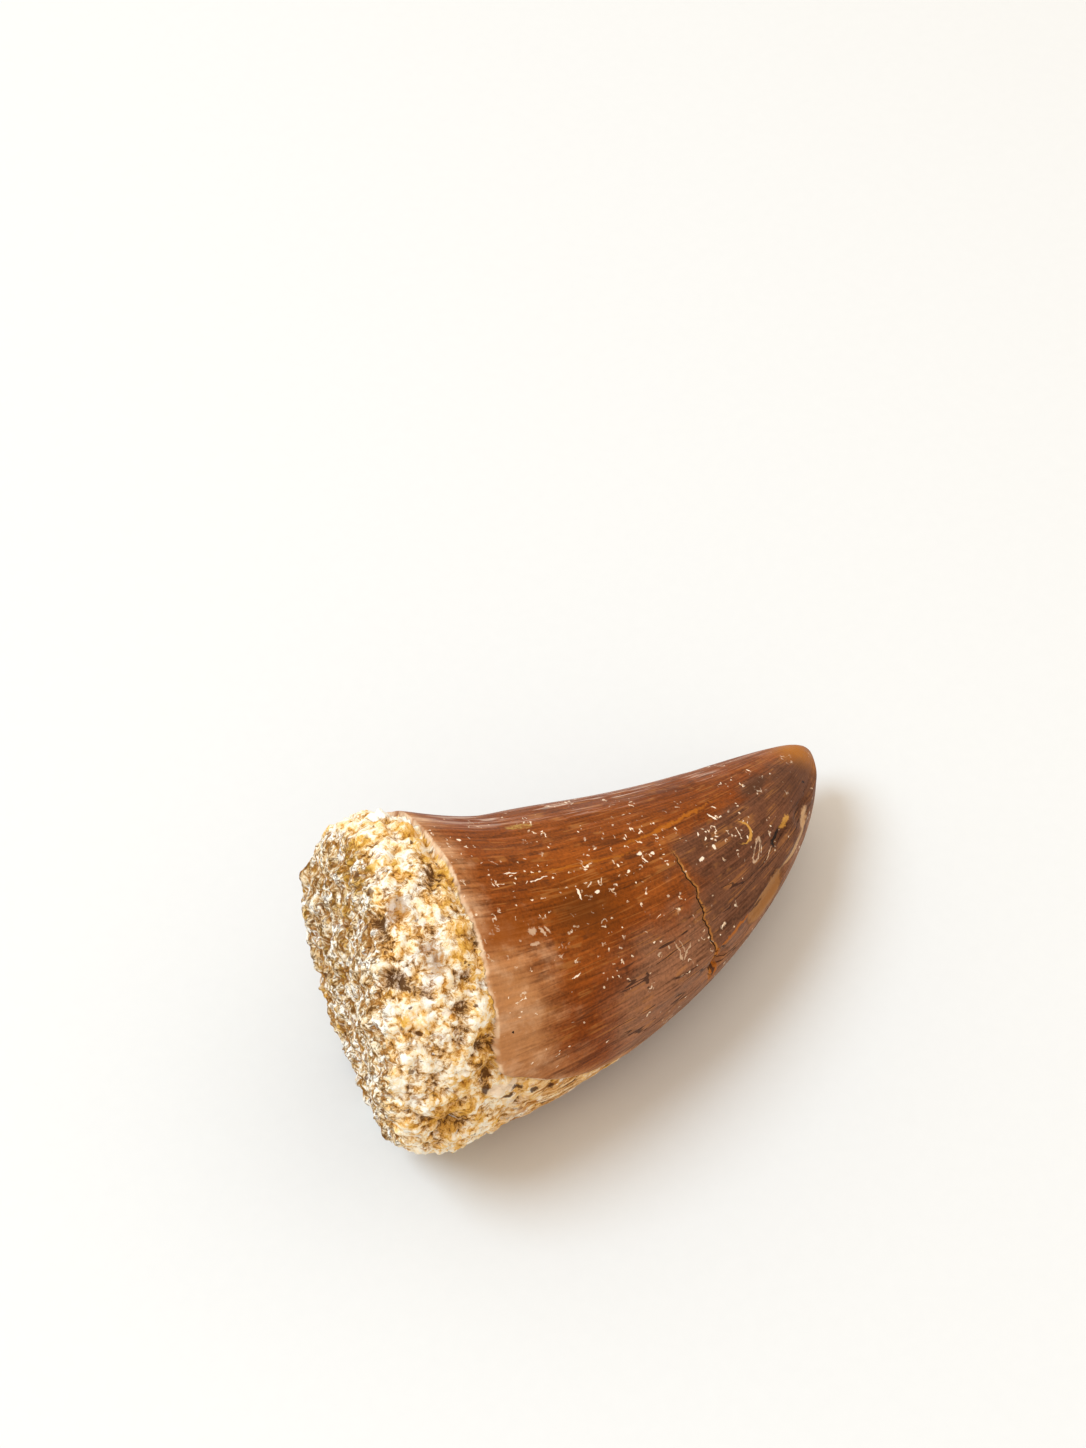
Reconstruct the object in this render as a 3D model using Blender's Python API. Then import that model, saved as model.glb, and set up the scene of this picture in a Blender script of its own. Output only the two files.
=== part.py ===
"""A fossil mosasaur tooth lying on its side: a curved enamel crown on the short, broken stub of its root.

Metres, +Z up, the tip towards +X. The origin is the middle of the bounding box's underside.

Tooth coordinates: s runs along the curved axis from the enamel margin (0) to the tip, negative in the
root stub. w is the angle round the axis in degrees: 0 on the concave side, 90 on top as the tooth lies,
180 on the convex side and 270 underneath.
"""

import math

import bmesh
import bpy
from mathutils import Euler, Vector, noise

MM = 0.001

# Crown
CROWN_LENGTH = 38.4 * MM  # along the curved axis, from the margin to the tip
CROWN_BEND = math.radians(37.0)  # how far the axis turns on the way, along one arc
BASE_RADIUS = 11.75 * MM  # half the width at the margin, concave to convex side
SECTION_RATIO = 0.90  # the section's other half width, as a share of this one
TAPER_POWER = 0.62  # the radius falls as (1 - s / length) to this power
NECK_DEPTH = 0.55 * MM  # a slight waist past the margin, on the concave side
NECK_PLACE, NECK_WIDTH = 6.0 * MM, 4.5 * MM

# Cutting edges, worn low: each starts above the margin and drifts round the crown towards the tip
CARINA_HEIGHT = 0.30 * MM
CARINA_WIDTH = 7.0  # degrees
CARINA_START = 7.0 * MM
FRONT_CARINA = (172.0, -0.95)  # degrees at the margin, degrees per mm
BACK_CARINA = (-8.0, 0.3)
FLUTES = 19  # shallow lengthwise facets round the crown
FLUTE_DEPTH = 0.06 * MM  # at the margin, less as the crown narrows

# Damage on the crown
CRACK_PLACE = 17.2 * MM
CRACK_FROM, CRACK_TO = 96.0, 178.0  # degrees
CRACK_WIDTH = 0.45 * MM
CRACK_DEPTH = 0.35 * MM
# Chips along the front carina: place in mm, angle in degrees, length and width in mm, depth in mm
CHIPS = (
    (24.2, 158.0, 6.4, 1.8, 0.34),
    (31.0, 140.0, 3.0, 1.5, 0.28),
    (27.3, 131.0, 2.8, 0.8, 0.34),
    (17.8, 166.0, 1.8, 1.3, 0.45),
)

# Enamel margin: a groove all round, and a bare tongue of dentine up the convex side
MARGIN_GROOVE = 0.45 * MM
GROOVE_WIDTH = 0.55 * MM
MARGIN_WAVE = 0.25 * MM
TONGUE_PLACE, TONGUE_HALF_WIDTH = 200.0, 42.0  # degrees
TONGUE_LENGTH = 12.5 * MM

# Root stub, broken off short: its end is nearest the margin underneath and farthest at the top front
STUB_LENGTH = 5.2 * MM
STUB_TILT = 1.5 * MM
STUB_TILT_PLACE = 127.0  # degrees
STUB_TWIST = 0.85 * MM  # a second, saddle-shaped unevenness
STUB_TWIST_PLACE = 146.0  # degrees
STUB_TAPER = 0.03
RIM_RADIUS = 2.0 * MM

# Lumps and pits of the root's crust, which stands a little proud of the crown
CRUST_LIFT = 0.35 * MM
LUMP_SIZES = (2.5 * MM, 1.3 * MM)
LUMP_HEIGHTS = (0.70 * MM, 0.30 * MM)
SWELL_SIZE = 6.0 * MM
SWELL_HEIGHT = 0.35 * MM
PIT_FLOOR = 0.55 * MM
# Single deep pits: place in mm, angle in degrees, radius and depth in mm
PITS = (
    (-2.9, 175.0, 1.1, 0.9),
    (-1.3, 121.0, 0.5, 0.7),
    (-2.1, 131.0, 0.6, 0.7),
    (-1.0, 145.0, 0.7, 0.7),
    (-0.6, 158.0, 0.8, 0.6),
)

# How it lies: rolled, tip down and yawed so that the chord from margin to tip runs along X
ROLL = math.radians(7.0)
TIP_DOWN = math.radians(11.4)
YAW = -CROWN_BEND / 2
REST_SINK = 0.45 * MM  # how much of the underside is ground to a small flat

# Mesh: rows over the end face, round the rim, along the stub and along the crown
COLUMNS = 144
FACE_ROWS, RIM_ROWS, STUB_ROWS, CROWN_ROWS = 26, 8, 14, 92
TRIANGLES = 8600

AXIS_RADIUS = CROWN_LENGTH / CROWN_BEND


def smoothstep(low, high, value):
    t = min(max((value - low) / (high - low), 0.0), 1.0)
    return t * t * (3.0 - 2.0 * t)


def bell(distance, width):
    return math.exp(-((distance / width) ** 2))


def turn(angle, place):
    """The difference of two angles in degrees, between -180 and 180."""
    return (angle - place + 180.0) % 360.0 - 180.0


def axis_frame(s):
    """The axis point, its direction and the direction of the concave side."""
    a = max(s, 0.0) / AXIS_RADIUS
    along = Vector((math.cos(a), math.sin(a), 0.0))
    inward = Vector((-math.sin(a), math.cos(a), 0.0))
    point = Vector((AXIS_RADIUS * math.sin(a) + min(s, 0.0), AXIS_RADIUS * (1.0 - math.cos(a)), 0.0))
    return point, along, inward


def side_radius(s, w):
    neck = NECK_DEPTH * bell(s - NECK_PLACE, NECK_WIDTH) * (0.5 + 0.5 * math.cos(math.radians(w)))
    if s < 0.0:
        return BASE_RADIUS * (1.0 + STUB_TAPER * s / STUB_LENGTH) - neck
    return BASE_RADIUS * max(1.0 - s / CROWN_LENGTH, 0.0) ** TAPER_POWER - neck


def end_place(share, w):
    """Where the broken end lies along the axis, from its middle (share 0) to its rim (share 1)."""
    tilt = STUB_TILT * math.cos(math.radians(w - STUB_TILT_PLACE))
    twist = STUB_TWIST * math.cos(math.radians(2.0 * (w - STUB_TWIST_PLACE)))
    return -STUB_LENGTH - share * tilt - share * share * twist


def margin_place(w):
    """How far up the crown the enamel starts at this angle."""
    tongue = max(1.0 - abs(turn(w, TONGUE_PLACE)) / TONGUE_HALF_WIDTH, 0.0)
    wave = noise.noise(Vector((math.cos(math.radians(w)), math.sin(math.radians(w)), 0.0)) * 5.0)
    return TONGUE_LENGTH * tongue + MARGIN_WAVE * wave


def surface(piece, share, w):
    """A point of the smooth form, its outward direction and its place along the axis."""
    wr = math.radians(w)
    if piece == "crown":
        s = CROWN_LENGTH * (1.0 - (1.0 - share) ** (1.0 / TAPER_POWER))
        radius = side_radius(s, w)
        lean = 0.0
    else:
        rim = end_place(1.0, w)
        shoulder = side_radius(rim + RIM_RADIUS, w)
        if piece == "stub":
            s = (rim + RIM_RADIUS) * (1.0 - share)
            radius = side_radius(s, w)
            lean = 0.0
        elif piece == "rim":
            lean = 0.5 * math.pi * (1.0 - share)
            radius = shoulder - RIM_RADIUS * (1.0 - math.cos(lean))
            s = rim + RIM_RADIUS * (1.0 - math.sin(lean))
        else:
            radius = (shoulder - RIM_RADIUS) * share
            s = rim + end_place(share, w) - end_place(1.0, w)
            lean = 0.5 * math.pi
    point, along, inward = axis_frame(s)
    up = Vector((0.0, 0.0, 1.0))
    side = inward * math.cos(wr) + up * (math.sin(wr) * SECTION_RATIO)
    facing = (inward * math.cos(wr) + up * (math.sin(wr) / SECTION_RATIO)).normalized()
    outward = facing * math.cos(lean) - along * math.sin(lean)
    return point + side * radius, outward, s


def lumps(point, size):
    """Rounded, close-packed grains of about this size: 1 on top of a grain, 0 in the gaps."""
    distances, centres = noise.voronoi(point / size)
    gap = smoothstep(0.0, 0.5, distances[1] - distances[0])
    proud = 0.5 + 0.5 * noise.cell(centres[0] * 7.0)
    return gap * proud * (1.0 - 0.6 * distances[0] ** 2)


def crust(point, s, w):
    """Height of the root's crust over the smooth form."""
    height = SWELL_HEIGHT * noise.noise(point / SWELL_SIZE)
    for size, lump_height in zip(LUMP_SIZES, LUMP_HEIGHTS):
        height += lump_height * (lumps(point, size) - 0.35)
    hollow = noise.noise(point / (2.4 * MM) + Vector((31.0, 7.0, 3.0)))
    height -= PIT_FLOOR * smoothstep(0.25, 0.6, hollow)
    for place, angle, radius, depth in PITS:
        across = math.radians(turn(w, angle)) * BASE_RADIUS
        height -= depth * MM * bell(math.hypot(s - place * MM, across), radius * MM)
    return height


def carina(s, w, place):
    start, drift = place
    across = turn(w, start + drift * s / MM)
    fade = smoothstep(CARINA_START, 2.0 * CARINA_START, s)
    end = smoothstep(CROWN_LENGTH, 0.93 * CROWN_LENGTH, s)
    return CARINA_HEIGHT * fade * end * bell(across, CARINA_WIDTH)


def crack(s, w):
    """A transverse crack that fades out at both ends."""
    wander = 0.35 * MM * noise.noise(Vector((w * 0.12, 0.0, 4.0)))
    reach = smoothstep(CRACK_FROM, CRACK_FROM + 12.0, w) * smoothstep(CRACK_TO, CRACK_TO - 8.0, w)
    return CRACK_DEPTH * reach * bell(s - CRACK_PLACE - wander, CRACK_WIDTH)


def chips(s, w):
    depth = 0.0
    for place, angle, length, width, deep in CHIPS:
        along = (s / MM - place) / (0.5 * length)
        across = math.radians(turn(w, angle)) * side_radius(s, w) / MM / (0.5 * width)
        depth = max(depth, deep * MM * smoothstep(1.35, 0.65, math.hypot(along, across)))
    return depth


def enamel(s, w):
    """Height of the crown's surface over the smooth form."""
    share = side_radius(s, w) / BASE_RADIUS
    flutes = FLUTE_DEPTH * share * share * math.sin(math.radians(w * FLUTES))
    edges = carina(s, w, FRONT_CARINA) + carina(s, w, BACK_CARINA)
    fade = smoothstep(CROWN_LENGTH, 0.9 * CROWN_LENGTH, s)
    return (flutes + edges - crack(s, w) - chips(s, w)) * fade


def relief(point, s, w):
    past = s - margin_place(w)
    bare = smoothstep(0.25 * MM, -0.25 * MM, past)
    if bare <= 0.0:
        return enamel(s, w)
    calm = 1.0 - 0.7 * smoothstep(0.0, 0.6 * TONGUE_LENGTH, s)
    lift = CRUST_LIFT * smoothstep(0.0, -1.5 * MM, s)
    groove = MARGIN_GROOVE * calm * bell(past, GROOVE_WIDTH)
    return bare * (crust(point, s, w) * calm + lift - groove) + (1.0 - bare) * enamel(s, w)


def station(row):
    """Which piece of the profile this row of vertices is in, and its share of the way along it."""
    for piece, rows in (("face", FACE_ROWS), ("rim", RIM_ROWS), ("stub", STUB_ROWS), ("crown", CROWN_ROWS)):
        if row <= rows:
            return piece, row / rows
        row -= rows
    return "crown", 1.0


def tooth_mesh():
    """A sphere whose rings are moved onto the tooth's profile, from the broken end to the tip."""
    rows = FACE_ROWS + RIM_ROWS + STUB_ROWS + CROWN_ROWS
    mesh = bpy.data.meshes.new("tooth")
    ball = bmesh.new()
    bmesh.ops.create_uvsphere(ball, u_segments=COLUMNS, v_segments=rows, radius=1.0)
    for vert in ball.verts:
        latitude = math.asin(min(max(vert.co.z, -1.0), 1.0))
        row = round((0.5 + latitude / math.pi) * rows)
        w = math.degrees(math.atan2(vert.co.y, vert.co.x)) % 360.0
        piece, share = station(row)
        point, outward, s = surface(piece, share, w)
        vert.co = point + outward * relief(point, s, w)
    bmesh.ops.recalc_face_normals(ball, faces=ball.faces)
    ball.to_mesh(mesh)
    ball.free()
    return mesh


def fossil_material():
    material = bpy.data.materials.new("fossil tooth")
    material.use_nodes = True
    shader = material.node_tree.nodes["Principled BSDF"]
    shader.inputs["Base Color"].default_value = (0.24, 0.10, 0.04, 1.0)
    shader.inputs["Roughness"].default_value = 0.38
    shader.inputs["Metallic"].default_value = 0.0
    return material


def build_tooth(collection):
    tooth = bpy.data.objects.new("tooth", tooth_mesh())
    collection.objects.link(tooth)
    tooth.data.materials.append(fossil_material())
    tooth.rotation_euler = Euler((ROLL, TIP_DOWN, YAW))
    turned = tooth.rotation_euler.to_matrix()
    corners = [turned @ vert.co for vert in tooth.data.vertices]
    low = Vector(min(corner[axis] for corner in corners) for axis in range(3))
    high = Vector(max(corner[axis] for corner in corners) for axis in range(3))
    middle = (low + high) / 2
    tooth.location = (-middle.x, -middle.y, -low.z - REST_SINK)
    return tooth


def thin_out(tooth):
    """Keeps triangles where the surface is rough and spends few on the smooth crown."""
    full = sum(len(face.vertices) - 2 for face in tooth.data.polygons)
    fewer = tooth.modifiers.new("thin out", "DECIMATE")
    fewer.ratio = TRIANGLES / full


def grind_flat(tooth, cutters):
    """Cuts off what reaches below the surface that the tooth lies on."""
    depth = 10 * MM
    bpy.ops.mesh.primitive_cube_add(size=1.0, location=(0.0, 0.0, -depth / 2))
    below = bpy.context.object
    below.name = "below the surface"
    below.scale = (0.1, 0.1, depth)
    below.hide_render = True
    below.display_type = "WIRE"
    for holder in list(below.users_collection):
        holder.objects.unlink(below)
    cutters.objects.link(below)
    cut = tooth.modifiers.new("rest flat", "BOOLEAN")
    cut.operation = "DIFFERENCE"
    cut.object = below


def main():
    for old in list(bpy.data.objects):
        bpy.data.objects.remove(old, do_unlink=True)
    collection = bpy.data.collections.new("fossil mosasaur tooth")
    cutters = bpy.data.collections.new("cutters")
    bpy.context.scene.collection.children.link(collection)
    bpy.context.scene.collection.children.link(cutters)
    tooth = build_tooth(collection)
    thin_out(tooth)
    grind_flat(tooth, cutters)


main()
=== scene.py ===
"""The looks of a fossil mosasaur tooth: brown enamel crown, pale crusted root stub, pale floor, soft light.

Metres, +Z up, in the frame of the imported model. The tooth's form follows the same formulas as its solid,
with finer rows and finer relief.

Tooth coordinates: s runs along the curved axis from the enamel margin (0) to the tip, negative in the
root stub. w is the angle round the axis in degrees: 0 on the concave side, 90 on top as the tooth lies,
180 on the convex side and 270 underneath.
"""

import math

import bmesh
import bpy
import numpy as np
from mathutils import Euler, Matrix, Vector, noise


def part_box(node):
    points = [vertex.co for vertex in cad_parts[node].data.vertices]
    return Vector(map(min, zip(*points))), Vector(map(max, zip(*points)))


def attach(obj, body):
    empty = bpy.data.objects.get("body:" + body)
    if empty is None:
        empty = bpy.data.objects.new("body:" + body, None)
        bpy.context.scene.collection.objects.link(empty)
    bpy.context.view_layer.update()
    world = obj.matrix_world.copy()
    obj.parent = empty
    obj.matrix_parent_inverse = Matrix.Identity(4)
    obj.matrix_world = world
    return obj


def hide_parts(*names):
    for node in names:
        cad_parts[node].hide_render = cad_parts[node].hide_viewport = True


MM = 0.001

# Crown
CROWN_LENGTH = 38.4 * MM  # along the curved axis, from the margin to the tip
CROWN_BEND = math.radians(37.0)  # how far the axis turns on the way, along one arc
BASE_RADIUS = 11.75 * MM  # half the width at the margin, concave to convex side
SECTION_RATIO = 0.90  # the section's other half width, as a share of this one
TAPER_POWER = 0.62  # the radius falls as (1 - s / length) to this power
NECK_DEPTH = 0.55 * MM  # a slight waist past the margin, on the concave side
NECK_PLACE, NECK_WIDTH = 6.0 * MM, 4.5 * MM

# Cutting edges, worn low: each starts above the margin and drifts round the crown towards the tip
CARINA_HEIGHT = 0.30 * MM
CARINA_WIDTH = 7.0  # degrees
CARINA_START = 7.0 * MM
FRONT_CARINA = (172.0, -0.95)  # degrees at the margin, degrees per mm
BACK_CARINA = (-8.0, 0.3)
FLUTES = 19  # shallow lengthwise facets round the crown
FLUTE_DEPTH = 0.06 * MM  # at the margin, less as the crown narrows

# Damage on the crown
CRACK_PLACE = 17.2 * MM
CRACK_FROM, CRACK_TO = 96.0, 178.0  # degrees
CRACK_OPENS, CRACK_CLOSES = 12.0, 8.0  # degrees over which it opens and closes
CRACK_WIDTH = 0.13 * MM
CRACK_DEPTH = 0.22 * MM
# How far it wanders along the tooth, how often in a degree, and where in the noise
CRACK_WANDERS = ((0.35 * MM, 0.12, 4.0), (0.14 * MM, 0.45, 9.0))
# Chips along the front carina: place in mm, angle in degrees, length and width in mm, depth in mm
CHIPS = (
    (24.2, 158.0, 6.4, 1.8, 0.34),
    (31.0, 140.0, 3.0, 1.5, 0.28),
    (27.3, 131.0, 2.8, 0.8, 0.34),
    (17.8, 166.0, 1.8, 1.3, 0.45),
)

# Enamel margin: a groove all round, and a bare tongue of dentine up the convex side
MARGIN_GROOVE = 0.45 * MM
GROOVE_WIDTH = 0.55 * MM
MARGIN_WAVE = 0.25 * MM
MARGIN_WAVES = 5.0  # how closely the waves follow each other round the crown
TONGUE_PLACE, TONGUE_HALF_WIDTH = 200.0, 42.0  # degrees
TONGUE_LENGTH = 12.5 * MM
TONGUE_SOFTNESS = 0.05  # how gently the tongue's two edges run into the margin
MARGIN_SOFTNESS = 0.18 * MM  # half the width over which crust gives way to enamel

# Root stub, broken off short: its end is nearest the margin underneath and farthest at the top front
STUB_LENGTH = 5.2 * MM
STUB_TILT = 1.5 * MM
STUB_TILT_PLACE = 127.0  # degrees
STUB_TWIST = 0.85 * MM  # a second, saddle-shaped unevenness
STUB_TWIST_PLACE = 146.0  # degrees
STUB_TAPER = 0.03
RIM_RADIUS = 2.0 * MM

# Lumps and pits of the root's crust, which stands a little proud of the crown
CRUST_LIFT = 0.35 * MM
CRUST_LIFT_PLACE = -1.5 * MM  # it stands fully proud from here down
CRUST_CALM = 0.8  # how much flatter the crust is along the tongue
CALM_FROM, CALM_TO = -0.08 * TONGUE_LENGTH, 0.40 * TONGUE_LENGTH
LUMP_SIZES = (2.5 * MM, 1.3 * MM)
LUMP_HEIGHTS = (0.60 * MM, 0.28 * MM)
SWELL_SIZE = 6.0 * MM
SWELL_HEIGHT = 0.35 * MM
CRUST_LIMIT = 0.55 * MM  # no lump stands prouder than this
HOLLOW_SIZE = 2.4 * MM
HOLLOW_DEPTH = 0.55 * MM
HOLLOW_SHIFT = (31.0, 7.0, 3.0)  # the hollows read another part of the noise than the lumps
# Single deep pits: place in mm, angle in degrees, radius and depth in mm
PITS = (
    (-2.9, 175.0, 1.1, 0.9),
    (-1.3, 121.0, 0.5, 0.7),
    (-2.1, 131.0, 0.6, 0.7),
    (-1.0, 145.0, 0.7, 0.7),
    (-0.6, 158.0, 0.8, 0.6),
)

# Finer relief than the solid has: creases in the crust, fine ridges along the enamel
CREASE_SIZES = (1.40 * MM, 0.80 * MM, 0.45 * MM)
CREASE_HEIGHTS = (0.24 * MM, 0.20 * MM, 0.13 * MM)
RIDGE_HEIGHT = 0.022 * MM
RIDGE_FINENESS = 24.0  # how finely the ridges are spaced round the crown
RIDGE_LENGTH = 9.0 * MM
DENT_SIZE = 2.6 * MM
DENT_DEPTH = 0.05 * MM

# How it lies: rolled, tip down and yawed so that the chord from margin to tip runs along X
ROLL = math.radians(7.0)
TIP_DOWN = math.radians(11.4)
YAW = -CROWN_BEND / 2
MARGIN_MIDDLE = (-13.61 * MM, -0.22 * MM, 10.29 * MM)  # from the middle of the solid's underside

# Mesh: the end face is a square grid drawn out to a disc, and its edge gives the columns of all rings
DISC_CELLS = 120
COLUMNS = 4 * DISC_CELLS
SEAM_ANGLE = 270.0  # degrees, where the first column lies
RIM_ROWS, STUB_ROWS, CROWN_ROWS = 18, 26, 128
# How far apart rows of the crown are, both in mm: close at the margin and at the crack
ROW_SPACINGS = (
    (0.0, 0.16),
    (1.5, 0.17),
    (3.0, 0.28),
    (13.0, 0.30),
    (16.0, 0.34),
    (16.6, 0.09),
    (18.2, 0.09),
    (18.8, 0.34),
    (38.4, 0.40),
)
DISC_MIDDLE, DISC_REACH = 0.15, 0.138  # the end face's place in the map of the surface
RINGS_FROM = 0.31  # the rings fill the map above this height

AXIS_RADIUS = CROWN_LENGTH / CROWN_BEND

# Camera
CAMERA_PLACE = (-85.0 * MM, -90.7 * MM, 165.0 * MM)
CAMERA_TILT, CAMERA_TURN = math.radians(41.65), math.radians(-42.24)
CAMERA_LENS, CAMERA_SENSOR = 70.86, 36.0  # mm

# Light: a soft lamp above, and an even warm glow from all round.
# The lamp's azimuth and elevation in degrees, distance and size in metres, power in watts, colour
KEY_LIGHT = (148.0, 54.0, 0.90, 0.50, 7.1, (0.62, 0.815, 1.0))
SKY_COLOUR = (1.0, 0.885, 0.745)
SKY_STRENGTH = 1.14
SHINE = 0.05  # the same for enamel and root
FLOOR_RADIUS = 1.6

# Colour zones of the crown and the root, each a soft oval on the surface:
# strength, place in mm, angle in degrees, half length in mm, half width in degrees
AMBER_ZONES = (
    (1.0, 1.8, 111.0, 2.6, 8.0),
    (0.9, 8.5, 104.0, 5.0, 20.0),
    (0.6, 17.0, 74.0, 9.0, 16.0),
    (0.5, 12.0, 290.0, 9.0, 40.0),
)
DEEP_ZONES = (
    (1.0, 31.5, 110.0, 4.0, 36.0),
    (1.0, 28.5, 88.0, 2.8, 9.0),
)
# Painted sheen: pale streaks along the top of the crown that stand in for light glancing off the enamel
SHEEN_ZONES = ((1.0, 17.0, 46.0, 14.0, 13.0),)
FLECKED_ZONES = (
    (1.0, 5.0, 96.0, 5.0, 17.0),
    (1.0, 14.0, 98.0, 4.0, 16.0),
    (1.0, 15.5, 77.0, 4.0, 12.0),
    (1.0, 22.0, 104.0, 4.0, 15.0),
    (1.0, 27.5, 86.0, 4.0, 14.0),
    (1.0, 8.5, 116.0, 3.0, 9.0),
    (0.7, 14.0, 128.0, 3.0, 8.0),
)
OCHRE_ZONES = (
    (1.0, -2.5, 172.0, 2.6, 22.0),
    (1.0, -4.8, 62.0, 2.0, 16.0),
    (0.7, -1.0, 300.0, 2.5, 50.0),
)
SMOKY_ZONES = (
    (1.0, -3.4, 112.0, 1.3, 17.0),
    (1.0, -4.4, 92.0, 1.2, 12.0),
)

# Lengthwise patterns: how finely each is spaced round the crown, twice, and along it in steps
FIBRE_STEP = 10.0 * MM
BROAD_FIBRES, FINE_FIBRES, STREAKS = (9.0, 9.0, 1.6), (42.0, 42.0, 2.6), (26.0, 26.0, 3.0)
PALE_THREADS, DARK_THREADS, WRINKLES = (15.0, 15.0, 0.9), (12.0, 12.0, 0.8), (4.5, 4.5, 0.75)
BUMP_HEIGHT = 0.05 * MM
DENTINE_PLACE = 3.0 * MM  # the tongue is all dentine from here up

# Paler enamel by the margin, partly its own tone and partly painted sheen, from none to full with the
# distance
# past the margin: far reaching round one angle, and a narrow band all round
PALE_AND_SHEEN_REACH, PALE_AND_SHEEN_BAND = (7.5 * MM, 0.5 * MM), (3.2 * MM, 0.2 * MM)
PALE_AND_SHEEN_PLACE, PALE_AND_SHEEN_WIDTH = 140.0, 34.0  # degrees
PALE_AND_SHEEN_BAND_STRENGTH = 0.60

# Dusky enamel round the convex side and deep brown past the crack: from none to full,
# in degrees round the crown and in mm along it
DUSK_PLACE, DUSK_SPREAD, DUSK_START = 178.0, (74.0, 22.0), (5.0 * MM, 12.0 * MM)
DEEP_START, DEEP_NEAR, DEEP_FAR = (14.0 * MM, 21.0 * MM), (86.0, 102.0), (170.0, 148.0)

# The strip worn pale beside the front carina: degrees from it, half width in degrees, and its ends
WORN_ASIDE, WORN_WIDTH = 9.0, 5.5
WORN_FROM, WORN_TO, WORN_FADE = 22.0 * MM, 31.5 * MM, 2.0 * MM

# Ochre along the root's side of the margin: from none to full, in mm and at its two ends in degrees
OCHRE_START, OCHRE_NEAR, OCHRE_FAR = (-2.4 * MM, -0.6 * MM), (45.0, 70.0), (190.0, 160.0)

# Colours of the enamel, in pairs where two mix
ENAMEL = ((0.222, 0.054, 0.007), (0.172, 0.037, 0.0035))
DUSK = (0.240, 0.103, 0.051)
RED_AMBER = (0.190, 0.042, 0.002)
DEEP_BROWN = (0.124, 0.048, 0.023)
# paler enamel by the margin: partly its own tone, partly painted sheen
PALE_ENAMEL_AND_SHEEN = ((0.400, 0.176, 0.067), (0.500, 0.265, 0.135))
PALE_THREAD, DARK_THREAD = (0.420, 0.165, 0.040), (0.055, 0.016, 0.005)
WRINKLE = (0.040, 0.015, 0.008)
# painted sheen: pale streaks for light glancing off the top of the crown
PAINTED_SHEEN = (0.740, 0.620, 0.510)
WORN = (0.520, 0.310, 0.150)
FLECK = ((0.500, 0.280, 0.140), (0.880, 0.730, 0.560))
SMUDGE = (0.400, 0.230, 0.055)
LIP = (0.780, 0.570, 0.370)
CRACK_EDGE, CRACK_LINE = (0.460, 0.190, 0.045), (0.030, 0.012, 0.006)

# Colours of the root: ramps from hollow to proud, darker in the hollows partly as painted shade, the broken
# end's ramp darker partly as painted shade, and the stains over them
CREAM = (
    (0.04, (0.180, 0.060, 0.010)),
    (0.14, (0.500, 0.200, 0.030)),
    (0.24, (0.800, 0.420, 0.105)),
    (0.35, (0.930, 0.635, 0.300)),
    (0.48, (0.950, 0.800, 0.560)),
    (0.62, (0.960, 0.905, 0.790)),
)
# The broken end: partly its own grey-beige, partly darker as painted shade
GREY_AND_SHADE = (
    (0.21, (0.100, 0.038, 0.010)),
    (0.29, (0.240, 0.105, 0.028)),
    (0.36, (0.440, 0.245, 0.090)),
    (0.44, (0.620, 0.435, 0.230)),
    (0.53, (0.800, 0.640, 0.430)),
    (0.63, (0.940, 0.880, 0.780)),
)
DENTINE = (
    (0.34, (0.220, 0.070, 0.012)),
    (0.44, (0.520, 0.230, 0.055)),
    (0.54, (0.740, 0.450, 0.190)),
    (0.66, (0.880, 0.680, 0.420)),
)
OCHRE = (0.720, 0.400, 0.060)
SEAM = (0.110, 0.046, 0.011)
SMOKE = (0.500, 0.370, 0.300)
# Rust and umber for the hollows: partly the crust's own colour, partly painted shade
RUST_AND_SHADE, UMBER_AND_SHADE = (0.420, 0.170, 0.030), (0.095, 0.038, 0.012)
SPECK = (0.120, 0.046, 0.014)
FLAKE = (0.950, 0.890, 0.790)
CARD = ((0.635, 0.626, 0.613), (0.655, 0.646, 0.633))

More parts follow.
